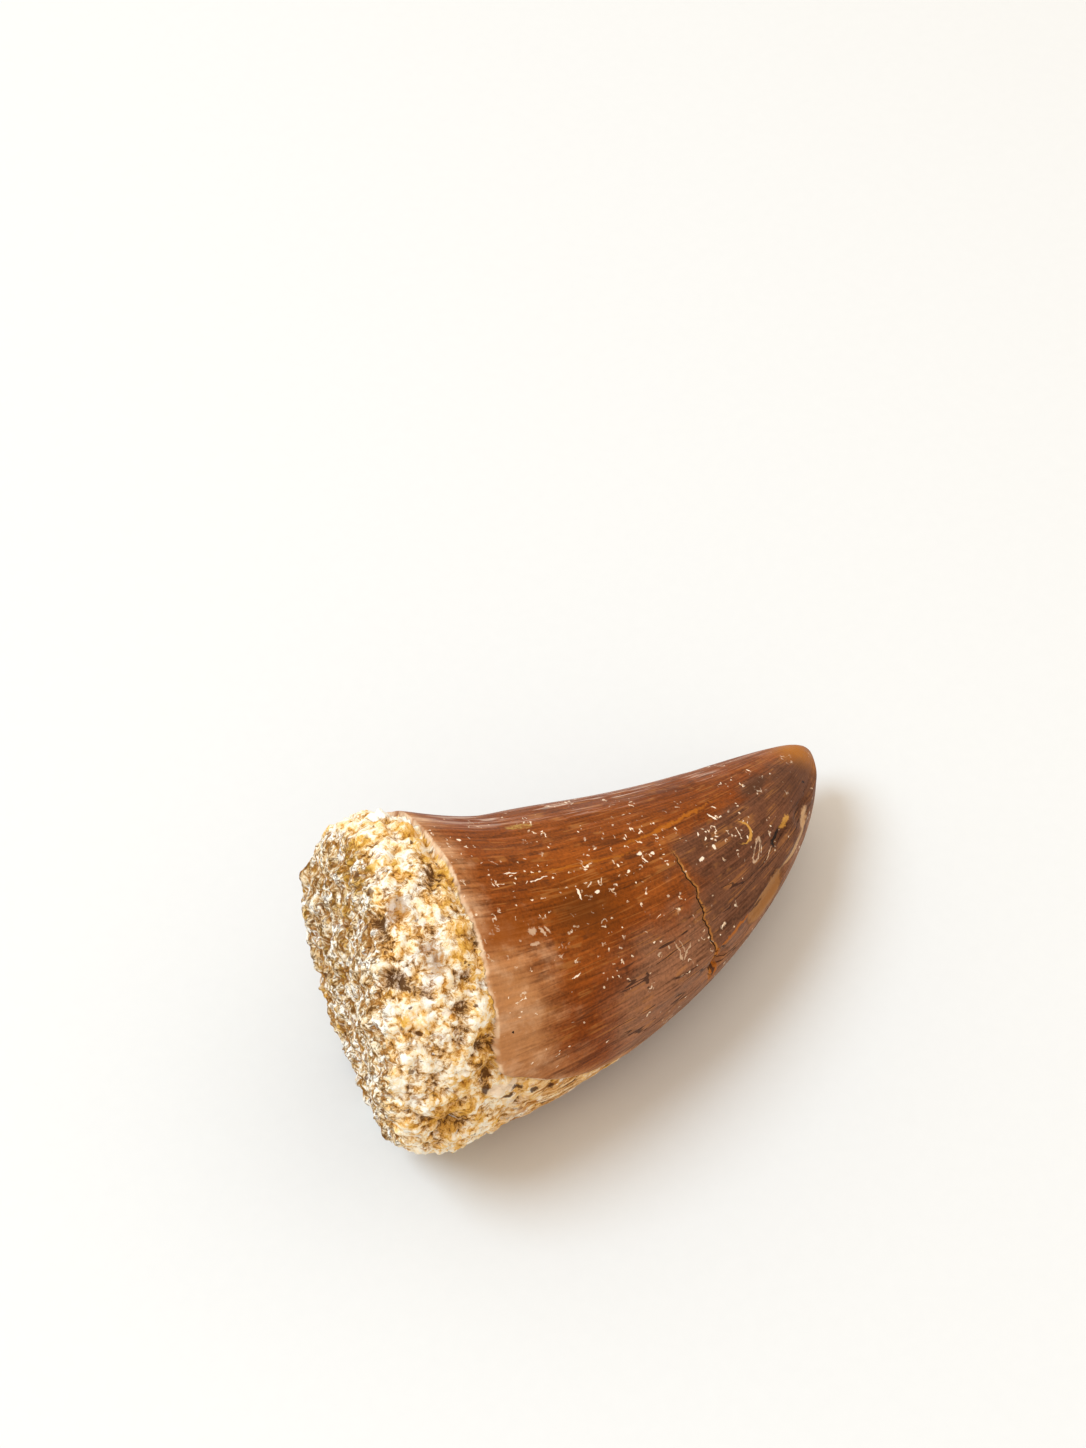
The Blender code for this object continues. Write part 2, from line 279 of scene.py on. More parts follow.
# Single marks of this tooth: colour, strength, softness of the edge, place in mm, angle in degrees,
# half length and half width in mm, and where it isn't 0, the slant in degrees
ORANGE, TAN, GOLD = (0.380, 0.110, 0.007), (0.540, 0.330, 0.170), (0.540, 0.270, 0.055)
DARK, BLACK, WHITE = (0.075, 0.026, 0.010), (0.020, 0.010, 0.006), (0.860, 0.720, 0.570)
AMBER, HAZE, BONE = (0.360, 0.165, 0.055), (0.600, 0.410, 0.270), (0.860, 0.690, 0.520)
RED_BROWN, DARK_BROWN, HONEY = (0.240, 0.055, 0.002), (0.110, 0.028, 0.003), (0.400, 0.135, 0.008)
STAINS = (
    (ORANGE, 0.65, 0.60, 10.0, 90.5, 4.2, 0.09, -3.0),
    (ORANGE, 0.90, 0.60, 19.0, 85.5, 4.4, 0.15, 4.0),
    (RED_BROWN, 0.80, 0.95, 2.0, 109.5, 1.8, 0.9),
    (DARK_BROWN, 0.75, 0.95, 8.3, 109.0, 2.3, 1.5),
    (HONEY, 0.85, 0.80, 36.2, 82.0, 1.9, 1.6),
    (HAZE, 0.70, 0.45, 3.9, 111.0, 0.30, 0.22, 20.0),
    (HAZE, 0.80, 0.30, 4.6, 112.0, 0.14, 0.30, 20.0),
    (HAZE, 0.80, 0.30, 5.1, 112.0, 0.10, 0.26, 20.0),
    (HAZE, 0.70, 0.30, 3.8, 116.0, 0.30, 0.14),
    (DARK, 0.85, 0.60, 28.6, 90.0, 2.0, 0.4),
    (DARK, 0.50, 0.80, 32.6, 112.0, 2.6, 1.3),
    (DARK, 0.80, 0.12, 24.0, 158.8, 2.85, 1.46, 5.0),
    (AMBER, 0.85, 0.12, 24.0, 160.0, 2.6, 1.30, 5.0),
    (DARK, 0.90, 0.20, 22.4, 159.0, 1.1, 0.26, -12.0),
    (TAN, 0.90, 0.25, 30.9, 146.0, 0.9, 0.45, 10.0),
    (ORANGE, 0.90, 0.20, 19.6, 154.5, 1.9, 0.14, 6.0),
    (ORANGE, 0.90, 0.20, 17.4, 168.0, 0.45, 1.8),
    (DARK, 1.00, 0.20, 17.4, 168.0, 0.20, 1.3),
    (BLACK, 1.00, 0.20, 26.9, 131.0, 1.1, 0.16, 12.0),
    (HAZE, 0.90, 0.20, 25.1, 134.5, 0.7, 0.05, 16.0),
    (GOLD, 1.00, 0.20, 28.5, 128.0, 0.6, 0.28, 15.0),
    (HAZE, 0.80, 0.20, 14.2, 143.5, 0.07, 0.80, 16.0),
    (HAZE, 0.60, 0.20, 14.6, 142.5, 0.05, 0.55, 16.0),
    (HAZE, 0.80, 0.20, 14.9, 146.0, 0.60, 0.06, 46.0),
    (BLACK, 1.00, 0.20, 1.1, 143.0, 0.13, 0.13),
    (BLACK, 1.00, 0.20, 33.2, 123.0, 0.20, 0.10),
)
ROOT_STAINS = (
    (BONE, 0.90, 0.30, 0.6, 165.0, 1.1, 0.45),
    (DARK, 0.90, 0.30, -0.6, 163.5, 0.30, 0.40),
    (DARK, 0.90, 0.30, 1.6, 168.0, 0.30, 0.20),
    (DARK, 0.90, 0.30, 1.1, 171.0, 0.40, 0.16),
    (DARK, 0.90, 0.30, 2.7, 171.5, 0.30, 0.18),
    (DARK, 0.90, 0.30, 4.0, 175.5, 0.26, 0.22),
    (DARK, 0.85, 0.30, 5.6, 181.0, 0.60, 0.16),
)
RAGGEDNESS = 0.50  # mm, how far the edges of the stains wander
MARK_DEPTH = 4.0  # mm, so that a mark is measured along the surface and hardly into the tooth

# Larger flecks, and three marks with a shape of their own: place in mm, angle in degrees,
# half length and half width in mm, and where it isn't 0, the slant in degrees
FLECKS = (
    (14.7, 94.5, 0.26, 0.15),
    (14.7, 98.5, 0.08, 0.28, 20.0),
    (15.6, 96.0, 0.14, 0.10),
    (20.2, 98.0, 0.18, 0.08, 40.0),
    (20.5, 102.0, 0.20, 0.06, 20.0),
    (21.0, 104.0, 0.20, 0.06, -10.0),
    (21.6, 104.0, 0.16, 0.08, -20.0),
    (20.7, 108.0, 0.15, 0.15),
    (22.5, 92.0, 0.09, 0.38, 15.0),
    (19.1, 109.5, 0.22, 0.14),
    (9.7, 104.0, 0.17, 0.13),
    (8.4, 102.5, 0.08, 0.38),
    (4.4, 87.0, 0.50, 0.05),
    (6.2, 92.0, 0.70, 0.05),
    (6.1, 131.5, 0.36, 0.06, 20.0),
)
SMUDGE_PLACE = (7.9, 62.0, 1.0, 0.34)
RING_PLACE, RING_BITE = (23.9, 110.5, 0.95, 0.85), (23.7, 109.3, 0.85, 0.80)
LEAF_PLACE = (24.2, 126.0, 0.90, 0.27, 33.0)


# The form


def smoothstep(low, high, value):
    t = min(max((value - low) / (high - low), 0.0), 1.0)
    return t * t * (3.0 - 2.0 * t)


def bell(distance, width):
    return math.exp(-((distance / width) ** 2))


def turn(angle, place):
    """The difference of two angles in degrees, between -180 and 180."""
    return (angle - place + 180.0) % 360.0 - 180.0


def axis_frame(s):
    """The axis point, its direction and the direction of the concave side."""
    a = max(s, 0.0) / AXIS_RADIUS
    along = Vector((math.cos(a), math.sin(a), 0.0))
    inward = Vector((-math.sin(a), math.cos(a), 0.0))
    point = Vector((AXIS_RADIUS * math.sin(a) + min(s, 0.0), AXIS_RADIUS * (1.0 - math.cos(a)), 0.0))
    return point, along, inward


def side_radius(s, w):
    neck = NECK_DEPTH * bell(s - NECK_PLACE, NECK_WIDTH) * (0.5 + 0.5 * math.cos(math.radians(w)))
    if s < 0.0:
        return BASE_RADIUS * (1.0 + STUB_TAPER * s / STUB_LENGTH) - neck
    return BASE_RADIUS * max(1.0 - s / CROWN_LENGTH, 0.0) ** TAPER_POWER - neck


def end_place(share, w):
    """Where the broken end lies along the axis, from its middle (share 0) to its rim (share 1)."""
    tilt = STUB_TILT * math.cos(math.radians(w - STUB_TILT_PLACE))
    twist = STUB_TWIST * math.cos(math.radians(2.0 * (w - STUB_TWIST_PLACE)))
    return -STUB_LENGTH - share * tilt - share * share * twist


def margin_place(w):
    """How far up the crown the enamel starts at this angle."""
    slope = 1.0 - abs(turn(w, TONGUE_PLACE)) / TONGUE_HALF_WIDTH
    tongue = 0.5 * (slope + math.hypot(slope, TONGUE_SOFTNESS))
    wave = noise.noise(Vector((math.cos(math.radians(w)), math.sin(math.radians(w)), 0.0)) * MARGIN_WAVES)
    return TONGUE_LENGTH * tongue + MARGIN_WAVE * wave


def surface(piece, share, w):
    """A point of the smooth form, its outward direction, its place along the axis and its radius."""
    wr = math.radians(w)
    if piece == "crown":
        s = CROWN_LENGTH * (1.0 - (1.0 - share) ** (1.0 / TAPER_POWER))
        radius = side_radius(s, w)
        lean = 0.0
    else:
        rim = end_place(1.0, w)
        shoulder = side_radius(rim + RIM_RADIUS, w)
        if piece == "stub":
            s = (rim + RIM_RADIUS) * (1.0 - share)
            radius = side_radius(s, w)
            lean = 0.0
        elif piece == "rim":
            lean = 0.5 * math.pi * (1.0 - share)
            radius = shoulder - RIM_RADIUS * (1.0 - math.cos(lean))
            s = rim + RIM_RADIUS * (1.0 - math.sin(lean))
        else:
            radius = (shoulder - RIM_RADIUS) * share
            s = rim + end_place(share, w) - end_place(1.0, w)
            lean = 0.5 * math.pi
    point, along, inward = axis_frame(s)
    up = Vector((0.0, 0.0, 1.0))
    side = inward * math.cos(wr) + up * (math.sin(wr) * SECTION_RATIO)
    facing = (inward * math.cos(wr) + up * (math.sin(wr) / SECTION_RATIO)).normalized()
    outward = facing * math.cos(lean) - along * math.sin(lean)
    return point + side * radius, outward, s, radius


# Relief of the root's crust


def lumps(point, size):
    """Rounded, close-packed grains of about this size: 1 on top of a grain, 0 in the gaps."""
    distances, centres = noise.voronoi(point / size)
    gap = smoothstep(0.0, 0.5, distances[1] - distances[0])
    proud = 0.5 + 0.5 * noise.cell(centres[0] * 7.0)
    return gap * proud * (1.0 - 0.6 * distances[0] ** 2), gap


def crease(point, size):
    """Rounded swells of about this size between sharp creases: 0 in a crease, 1 high on a swell."""
    return min(2.2 * abs(noise.noise(point / size)), 1.0)


def crust(point, s, w):
    """Height of the root's crust over the smooth form, and how hollow it is here."""
    height = SWELL_HEIGHT * noise.noise(point / SWELL_SIZE)
    filled = 1.0
    for size, lump_height in zip(LUMP_SIZES, LUMP_HEIGHTS):
        lump, gap = lumps(point, size)
        height += lump_height * (lump - 0.35)
        filled *= 0.60 + 0.40 * gap
    hollow = noise.noise(point / HOLLOW_SIZE + Vector(HOLLOW_SHIFT))
    height -= HOLLOW_DEPTH * smoothstep(0.25, 0.6, hollow)
    filled *= 1.0 - 0.8 * smoothstep(0.2, 0.55, hollow)
    for place, angle, radius, depth in PITS:
        across = math.radians(turn(w, angle)) * BASE_RADIUS
        near = bell(math.hypot(s - place * MM, across), radius * MM)
        height -= depth * MM * near
        filled *= 1.0 - near
    for size, crease_height in zip(CREASE_SIZES, CREASE_HEIGHTS):
        swell = crease(point, size)
        height += crease_height * (swell - 0.5)
        filled *= 0.70 + 0.30 * smoothstep(0.0, 0.4, swell)
    if height > 0.0:
        height = CRUST_LIMIT * math.tanh(height / CRUST_LIMIT)
    return height, 1.0 - filled


# Relief of the enamel


def carina(s, w, place):
    start, drift = place
    across = turn(w, start + drift * s / MM)
    fade = smoothstep(CARINA_START, 2.0 * CARINA_START, s)
    end = smoothstep(CROWN_LENGTH, 0.93 * CROWN_LENGTH, s)
    return CARINA_HEIGHT * fade * end * bell(across, CARINA_WIDTH)


def past_crack(s, w):
    """How far past the transverse crack this place is, along the tooth, and how open the crack is here."""
    away = s - CRACK_PLACE
    for height, pace, shift in CRACK_WANDERS:
        away -= height * noise.noise(Vector((w * pace, 0.0, shift)))
    opening = smoothstep(CRACK_FROM, CRACK_FROM + CRACK_OPENS, w)
    return away, opening * smoothstep(CRACK_TO, CRACK_TO - CRACK_CLOSES, w)


def chips(s, w):
    depth = 0.0
    for place, angle, length, width, deep in CHIPS:
        along = (s / MM - place) / (0.5 * length)
        across = math.radians(turn(w, angle)) * side_radius(s, w) / MM / (0.5 * width)
        depth = max(depth, deep * MM * smoothstep(1.25, 0.75, math.hypot(along, across)))
    return depth


def enamel(point, s, w):
    """Height of the crown's surface over the smooth form."""
    share = side_radius(s, w) / BASE_RADIUS
    flutes = FLUTE_DEPTH * share * share * math.sin(math.radians(w * FLUTES))
    edges = carina(s, w, FRONT_CARINA) + carina(s, w, BACK_CARINA)
    away, reach = past_crack(s, w)
    crack = CRACK_DEPTH * reach * bell(away, CRACK_WIDTH)
    lie = Vector((math.cos(math.radians(w)), math.sin(math.radians(w)), 0.0)) * RIDGE_FINENESS
    ridges = RIDGE_HEIGHT * noise.noise(lie + Vector((0.0, 0.0, s / RIDGE_LENGTH)))
    dents = DENT_DEPTH * min(noise.noise(point / DENT_SIZE) + 0.1, 0.0)
    fade = smoothstep(CROWN_LENGTH, 0.9 * CROWN_LENGTH, s)
    return (flutes + edges - crack - chips(s, w)) * fade + ridges * share + dents


def relief(point, s, w):
    """Height over the smooth form, and how hollow the crust is here."""
    past = s - margin_place(w)
    bare = smoothstep(MARGIN_SOFTNESS, -MARGIN_SOFTNESS, past)
    if bare <= 0.0:
        return enamel(point, s, w), 0.0
    calm = 1.0 - CRUST_CALM * smoothstep(CALM_FROM, CALM_TO, s)
    lift = CRUST_LIFT * smoothstep(0.0, CRUST_LIFT_PLACE, s)
    groove = MARGIN_GROOVE * calm * bell(past, GROOVE_WIDTH)
    height, hollow = crust(point, s, w)
    return bare * (height * calm + lift - groove) + (1.0 - bare) * enamel(point, s, w), hollow


# The mesh


def crown_shares():
    """Shares of the crown's length for its rows, the first above the margin and the last at the tip."""
    fine = np.linspace(0.0, 1.0, 4001)
    s = CROWN_LENGTH / MM * (1.0 - (1.0 - fine) ** (1.0 / TAPER_POWER))
    radius = BASE_RADIUS / MM * (1.0 - fine)
    places, spacings = zip(*ROW_SPACINGS)
    steps = np.hypot(np.diff(s), np.diff(radius)) / np.interp((s[1:] + s[:-1]) / 2, places, spacings)
    rows = np.concatenate([[0.0], np.cumsum(steps)])
    return np.interp(np.linspace(0.0, rows[-1], CROWN_ROWS + 1)[1:], rows, fine)


def ring_stations():
    """Piece and share of each ring, from the edge of the end face to just short of the tip."""
    stations = [("rim", row / RIM_ROWS) for row in range(RIM_ROWS + 1)]
    stations += [("stub", row / STUB_ROWS) for row in range(1, STUB_ROWS + 1)]
    stations += [("crown", share) for share in crown_shares()[:-1]]
    return stations


def column_angle(column):
    return (SEAM_ANGLE + 360.0 * column / COLUMNS) % 360.0


def disc_place(i, j):
    """The share of the radius and the angle of a grid point, once the square is drawn out to a disc."""
    x, y = i - DISC_CELLS / 2, j - DISC_CELLS / 2
    if x == 0.0 and y == 0.0:
        return 0.0, 0.0
    if abs(x) >= abs(y):
        angle = 45.0 * y / x + (180.0 if x < 0.0 else 0.0)
    else:
        angle = 90.0 - 45.0 * x / y + (180.0 if y < 0.0 else 0.0)
    return max(abs(x), abs(y)) / (DISC_CELLS / 2), angle % 360.0


class ToothMesh:
    """Vertices in the tooth's own frame, with what the paint reads at each, and the faces between them."""

    def __init__(self):
        self.points = []
        self.paint = []
        self.faces = []
        self.places = []  # where each face's corners lie in the flat map of the surface
        self.stations = ring_stations()
        self.add_rings()
        self.add_tip()
        self.add_end_face()

    def add_point(self, piece, share, w):
        point, outward, s, radius = surface(piece, share, w)
        height, hollow = relief(point, s, w)
        self.points.append(point + outward * height)
        self.paint.append((piece, share, s, w, radius, hollow))
        return len(self.points) - 1

    def add_rings(self):
        for piece, share in self.stations:
            for column in range(COLUMNS):
                self.add_point(piece, share, column_angle(column))
        heights = np.linspace(RINGS_FROM, 1.0, len(self.stations) + 1)
        for row in range(len(self.stations) - 1):
            for column in range(COLUMNS):
                following = (column + 1) % COLUMNS
                low, high = row * COLUMNS, (row + 1) * COLUMNS
                self.faces.append((low + column, low + following, high + following, high + column))
                left, right = column / COLUMNS, (column + 1) / COLUMNS
                bottom, top = heights[row], heights[row + 1]
                self.places.append(((left, bottom), (right, bottom), (right, top), (left, top)))

    def add_tip(self):
        tip = self.add_point("crown", 1.0, 0.0)
        last = (len(self.stations) - 1) * COLUMNS
        bottom = RINGS_FROM + (1.0 - RINGS_FROM) * (1.0 - 1.0 / len(self.stations))
        for column in range(COLUMNS):
            following = (column + 1) % COLUMNS
            self.faces.append((last + column, last + following, tip))
            left, right = column / COLUMNS, (column + 1) / COLUMNS
            self.places.append(((left, bottom), (right, bottom), ((left + right) / 2, 1.0)))

    def add_end_face(self):
        index, place = {}, {}
        for i in range(DISC_CELLS + 1):
            for j in range(DISC_CELLS + 1):
                share, angle = disc_place(i, j)
                if share >= 1.0:
                    index[i, j] = round((angle - SEAM_ANGLE) % 360.0 * COLUMNS / 360.0) % COLUMNS
                else:
                    index[i, j] = self.add_point("face", share, angle)
                wr = math.radians(angle)
                place[i, j] = (
                    DISC_MIDDLE + DISC_REACH * share * math.cos(wr),
                    DISC_MIDDLE + DISC_REACH * share * math.sin(wr),
                )
        for i in range(DISC_CELLS):
            for j in range(DISC_CELLS):
                corners = ((i, j), (i, j + 1), (i + 1, j + 1), (i + 1, j))
                self.faces.append(tuple(index[corner] for corner in corners))
                self.places.append(tuple(place[corner] for corner in corners))


def laid_down(points):
    """The points as the tooth lies, where the solid is and with the same flat underside."""
    turned = np.array(Euler((ROLL, TIP_DOWN, YAW)).to_matrix())
    low, high = (np.array(corner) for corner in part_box("tooth"))
    underside = np.array(((low[0] + high[0]) / 2, (low[1] + high[1]) / 2, low[2]))
    laid = np.array(points) @ turned.T + underside + np.array(MARGIN_MIDDLE)
    laid[:, 2] = np.maximum(laid[:, 2], low[2])
    return laid


# What the paint reads at each vertex


def patch(s, w, place, angle, length, width):
    """1 in the middle of a patch, falling off over its half length in mm and half width in degrees."""
    return bell(math.hypot((s / MM - place) / length, turn(w, angle) / width), 1.0)


def zoned(s, w, zones):
    """How far inside these zones the place is: the strength of one in its middle, 0 far outside all."""
    return max(strength * patch(s, w, *zone) for strength, *zone in zones)


def crown_tones(s, w):
    """How pale with painted sheen, amber, dusky and deep brown the enamel is: the broad colour zones of the
    crown.
    """
    past = s - margin_place(w)
    pale_and_sheen = max(
        smoothstep(*PALE_AND_SHEEN_REACH, past) * bell(turn(w, PALE_AND_SHEEN_PLACE), PALE_AND_SHEEN_WIDTH),
        PALE_AND_SHEEN_BAND_STRENGTH * smoothstep(*PALE_AND_SHEEN_BAND, past),
    )
    dusk = smoothstep(*DUSK_SPREAD, abs(turn(w, DUSK_PLACE))) * smoothstep(*DUSK_START, s)
    deep = max(
        smoothstep(*DEEP_START, s) * smoothstep(*DEEP_NEAR, w) * smoothstep(*DEEP_FAR, w),
        zoned(s, w, DEEP_ZONES),
    )
    return pale_and_sheen, zoned(s, w, AMBER_ZONES), dusk, deep


def crown_state(s, w):
    """How much painted sheen the enamel has here, how flecked and how worn it is."""
    start, drift = FRONT_CARINA
    worn = bell(turn(w, start + WORN_ASIDE + drift * s / MM), WORN_WIDTH)
    worn *= smoothstep(WORN_FROM, WORN_FROM + WORN_FADE, s) * smoothstep(WORN_TO, WORN_TO - WORN_FADE, s)
    return zoned(s, w, SHEEN_ZONES), zoned(s, w, FLECKED_ZONES), worn


def root_tones(piece, share, s, w):
    """How broken off, how ochre and how smoky the root is here."""
    if piece == "face":
        broken = 1.0
    elif piece == "rim":
        broken = smoothstep(0.75, 0.2, share)
    else:
        broken = 0.0
    ochre = max(
        smoothstep(*OCHRE_START, s) * smoothstep(*OCHRE_NEAR, w) * smoothstep(*OCHRE_FAR, w),
        zoned(s, w, OCHRE_ZONES),
    )
    return broken, ochre, zoned(s, w, SMOKY_ZONES)


def add_attribute(mesh, name, kind, values):
    slot = "vector" if kind == "FLOAT_VECTOR" else "value"
    layer = mesh.attributes.new(name, kind, "POINT")
    layer.data.foreach_set(slot, np.array(values, dtype=np.float32).ravel())


def add_paint_attributes(mesh, paint):
    """What the material reads: fibre follows the enamel's fibres, straight is the place in mm with the
    crown's bend taken out, and the others say what the surface is like there."""
    layers = {name: [] for name in ("fibre", "straight", "tone", "state", "root", "crust", "crack")}
    past, deep = [], []
    for piece, share, s, w, radius, hollow in paint:
        c, n = math.cos(math.radians(w)), math.sin(math.radians(w))
        away, reach = past_crack(s, w)
        layers["fibre"].append((c, n, s / FIBRE_STEP))
        layers["straight"].append((s / MM, radius * c / MM, radius * n / MM))
        *tone, depth = crown_tones(s, w)
        layers["tone"].append(tone)
        deep.append(depth)
        layers["state"].append(crown_state(s, w))
        layers["root"].append(root_tones(piece, share, s, w))
        layers["crust"].append((hollow, smoothstep(0.0, DENTINE_PLACE, s), 0.0))
        layers["crack"].append((away / MM, reach, 0.0))
        past.append((s - margin_place(w)) / MM)
    for name, values in layers.items():
        add_attribute(mesh, name, "FLOAT_VECTOR", values)
    add_attribute(mesh, "past", "FLOAT", past)
    add_attribute(mesh, "deep", "FLOAT", deep)


# Materials


class Paint:
    """Short ways to add nodes to one material. A value is a number, a colour, a vector or a socket."""

    def __init__(self, name):
        self.material = bpy.data.materials.new(name)
        self.material.use_nodes = True
        self.nodes = self.material.node_tree.nodes
        self.links = self.material.node_tree.links
        self.shader = self.nodes["Principled BSDF"]

    def plug(self, socket, value):
        if isinstance(value, bpy.types.NodeSocket):
            self.links.new(value, socket)
        elif isinstance(value, tuple) and socket.type == "RGBA":
            socket.default_value = (*value, 1.0)
        else:
            socket.default_value = value

    def attribute(self, name, output="Vector"):
        node = self.nodes.new("ShaderNodeAttribute")
        node.attribute_name = name
        return node.outputs[output]

    def parts(self, vector):
        node = self.nodes.new("ShaderNodeSeparateXYZ")
        self.plug(node.inputs[0], vector)
        return list(node.outputs)

    def math(self, operation, *values):
        node = self.nodes.new("ShaderNodeMath")
        node.operation = operation
        for socket, value in zip(node.inputs, values):
            self.plug(socket, value)
        return node.outputs[0]

    def times(self, first, *others):
        for other in others:
            first = self.math("MULTIPLY", first, other)
        return first

    def span(self, value, low, high, start=0.0, end=1.0):
        """start at low, end at high and a smooth change between them."""
        node = self.nodes.new("ShaderNodeMapRange")
        node.interpolation_type = "SMOOTHSTEP"
        for name, setting in (("Value", value), ("From Min", low), ("From Max", high)):
            self.plug(node.inputs[name], setting)
        self.plug(node.inputs["To Min"], start)
        self.plug(node.inputs["To Max"], end)
        return node.outputs[0]

    def mix(self, share, first, second, blend="MIX"):
        node = self.nodes.new("ShaderNodeMix")
        node.data_type = "RGBA"
        node.blend_type = blend
        self.plug(node.inputs["Factor"], share)
        self.plug(node.inputs[6], first)
        self.plug(node.inputs[7], second)
        return node.outputs[2]

    def blend(self, share, first, second):
        """The same with two plain values."""
        node = self.nodes.new("ShaderNodeMix")
        node.data_type = "FLOAT"
        self.plug(node.inputs[0], share)
        self.plug(node.inputs[2], first)
        self.plug(node.inputs[3], second)
        return node.outputs[0]

    def sway(self, value, field, amount):
        """value, raised where a noise is over 0.5 and lowered where it is under."""
        return self.math("MULTIPLY_ADD", self.math("SUBTRACT", field, 0.5), amount, value)

    def stretch(self, vector, scale, shift=(0.0, 0.0, 0.0)):
        node = self.nodes.new("ShaderNodeVectorMath")
        node.operation = "MULTIPLY_ADD"
        self.plug(node.inputs[0], vector)
        self.plug(node.inputs[1], scale)
        self.plug(node.inputs[2], shift)
        return node.outputs[0]

    def noise(self, vector, scale=1.0, detail=2.0, roughness=0.5, output="Fac"):
        node = self.nodes.new("ShaderNodeTexNoise")
        self.plug(node.inputs["Vector"], vector)
        node.inputs["Scale"].default_value = scale
        node.inputs["Detail"].default_value = detail
        node.inputs["Roughness"].default_value = roughness
        return node.outputs[output]

    def cells(self, vector, scale):
        node = self.nodes.new("ShaderNodeTexVoronoi")
        self.plug(node.inputs["Vector"], vector)
        node.inputs["Scale"].default_value = scale
        return node.outputs

    def mark(self, vector, place, angle, half_length, half_width, slant=0.0):
        """Distance from the middle of an oval on the surface, 1 at its edge. mm and degrees."""
        s = place * MM
        radius = side_radius(s, angle) / MM
        wr = math.radians(angle)
        node = self.nodes.new("ShaderNodeMapping")
        node.vector_type = "TEXTURE"
        self.plug(node.inputs["Vector"], vector)
        lie = Matrix.Rotation(wr, 3, "X") @ Matrix.Rotation(math.radians(slant), 3, "Y")
        node.inputs["Location"].default_value = (place, radius * math.cos(wr), radius * math.sin(wr))
        node.inputs["Rotation"].default_value = lie.to_euler("XYZ")
        node.inputs["Scale"].default_value = (half_length, MARK_DEPTH, half_width)
        size = self.nodes.new("ShaderNodeVectorMath")
        size.operation = "LENGTH"
        self.links.new(node.outputs[0], size.inputs[0])
        return size.outputs["Value"]

    def ramp(self, value, *stops):
        """A colour for each value, changing evenly from stop to stop."""
        node = self.nodes.new("ShaderNodeValToRGB")
        elements = node.color_ramp.elements
        for element, (place, colour) in zip(elements, (stops[0], stops[-1])):
            element.position, element.color = place, (*colour, 1.0)
        for place, colour in stops[1:-1]:
            elements.new(place).color = (*colour, 1.0)
        self.plug(node.inputs[0], value)
        return node.outputs[0]

    def over(self, colour, layer, share):
        """colour with layer laid over it where share is 1."""
        return self.mix(share, colour, layer)


def dots(paint, place, scale, size, kept):
    """Small round spots: the hearts of some cells. kept is the share of the cells that has one."""
    cells = paint.cells(place, scale)
    chance = paint.parts(cells["Color"])
    radius = paint.span(chance[1], 0.0, 1.0, size * 0.4, size)
    spot = paint.span(paint.math("DIVIDE", cells["Distance"], radius), 1.0, 0.7)
    return paint.times(spot, paint.span(chance[0], kept, kept - 0.02))


def lines(paint, place, width, detail=2.0):
    """Thin lines where a noise crosses its middle."""
    field = paint.noise(place, 1.0, detail, 0.5)
    away = paint.math("ABSOLUTE", paint.math("SUBTRACT", field, 0.5))
    return paint.span(away, width, 0.4 * width)


def fray(paint, straight):
    """A fine noise about 0, by which the edges of marks wander."""
    return paint.math("SUBTRACT", paint.noise(straight, 4.5, 3.0, 0.7), 0.5)


